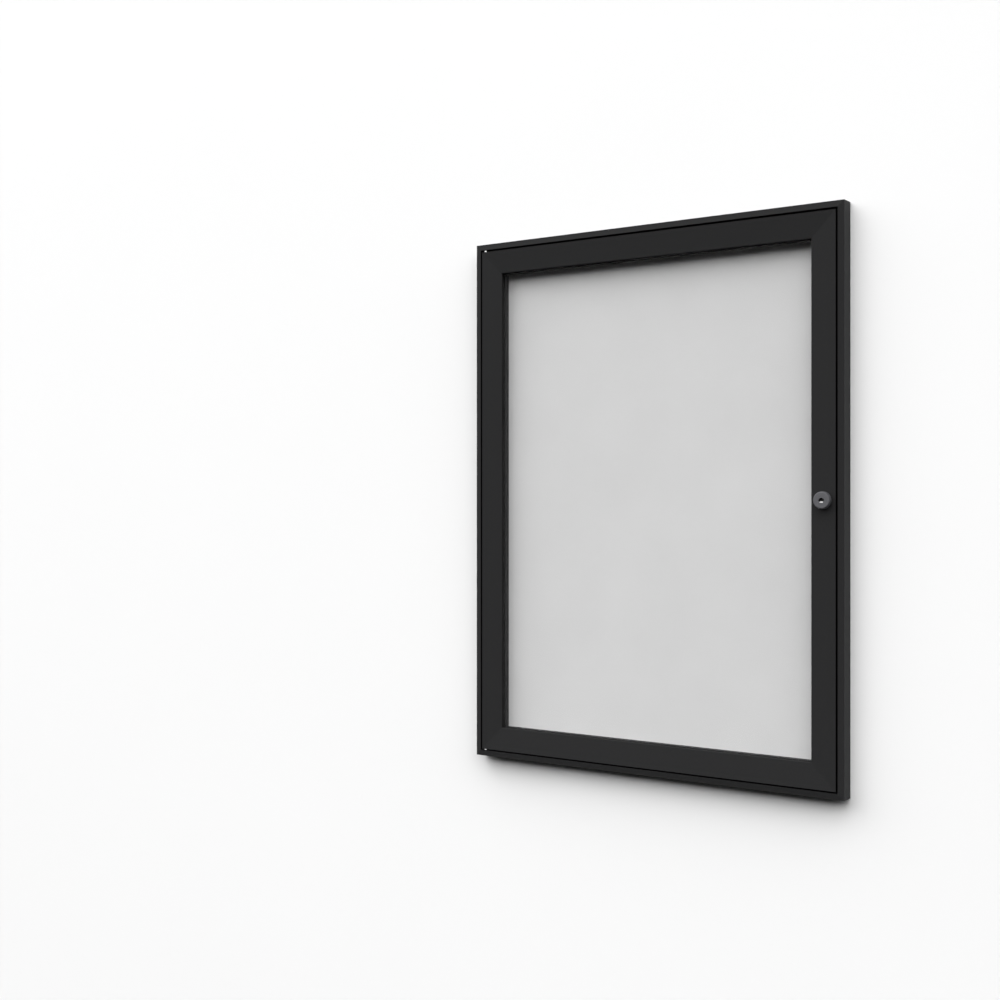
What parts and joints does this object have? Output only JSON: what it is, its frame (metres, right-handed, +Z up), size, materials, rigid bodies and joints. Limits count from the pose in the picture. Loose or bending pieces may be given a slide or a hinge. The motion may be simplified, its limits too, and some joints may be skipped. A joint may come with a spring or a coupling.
{
  "type": "lockable notice board",
  "caption": "Slim wall-mounted showcase in black metal with a hinged glazed door, a light grey display panel and a cam lock in the door's stile.",
  "frame": {"origin": "middle of the casing's back face, on the wall, at the centre of the four wall fixings", "axes": "+X to the right as seen from the front, +Y into the wall, +Z up, so the board lies at negative Y and faces -Y"},
  "size_m": [0.51, 0.0265, 0.68],
  "materials": {
    "black_coat": "satin powder coat on aluminium extrusion",
    "light_grey_coat": "matt coat on steel sheet",
    "board": "plain hardboard",
    "bare_aluminium": "mill finish",
    "steel": "bright zinc plate",
    "lock_metal": "satin nickel plate",
    "black_rubber": "matt",
    "bearing_plastic": "smooth acetal",
    "clear_glazing": "clear acrylic, polished"
  },
  "bodies": {
    "casing": {"casing_hinge_stile": "black_coat", "casing_lock_stile": "black_coat", "casing_bottom_rail": "black_coat", "casing_top_rail": "black_coat", "casing_cleat_top_left": "bare_aluminium", "casing_cleat_top_right": "bare_aluminium", "casing_cleat_bottom_left": "bare_aluminium", "casing_cleat_bottom_right": "bare_aluminium", "casing_cleat_screws": "steel", "panel_screws": "steel", "back_board": "board", "display_sheet": "light_grey_coat", "door_seal": "black_rubber", "hinge_pin_top": "steel", "hinge_pin_bottom": "steel"},
    "door": {"door_hinge_stile": "black_coat", "door_lock_stile": "black_coat", "door_bottom_rail": "black_coat", "door_top_rail": "black_coat", "door_cleat_top_left": "bare_aluminium", "door_cleat_top_right": "bare_aluminium", "door_cleat_bottom_left": "bare_aluminium", "door_cleat_bottom_right": "bare_aluminium", "door_cleat_screws": "steel", "glazing_sheet": "clear_glazing", "glazing_gasket": "black_rubber", "hinge_bush_top": "bearing_plastic", "hinge_bush_bottom": "bearing_plastic", "lock_housing": "lock_metal", "lock_nut": "steel"},
    "lock": {"lock_plug": "lock_metal", "lock_cam": "steel", "cam_washer": "steel", "cam_screw": "steel"}
  },
  "joints": [
    {"name": "door_hinge", "type": "hinge", "parent": "casing", "child": "door", "pos_m": [-0.24172, -0.0165, 0], "axis": [0, 0, -1], "range_deg": [0, 105]},
    {"name": "lock_turn", "type": "hinge", "parent": "door", "child": "lock", "pos_m": [0.2303, -0.0165, 0], "axis": [0, -1, 0], "range_deg": [0, 90]}
  ]
}
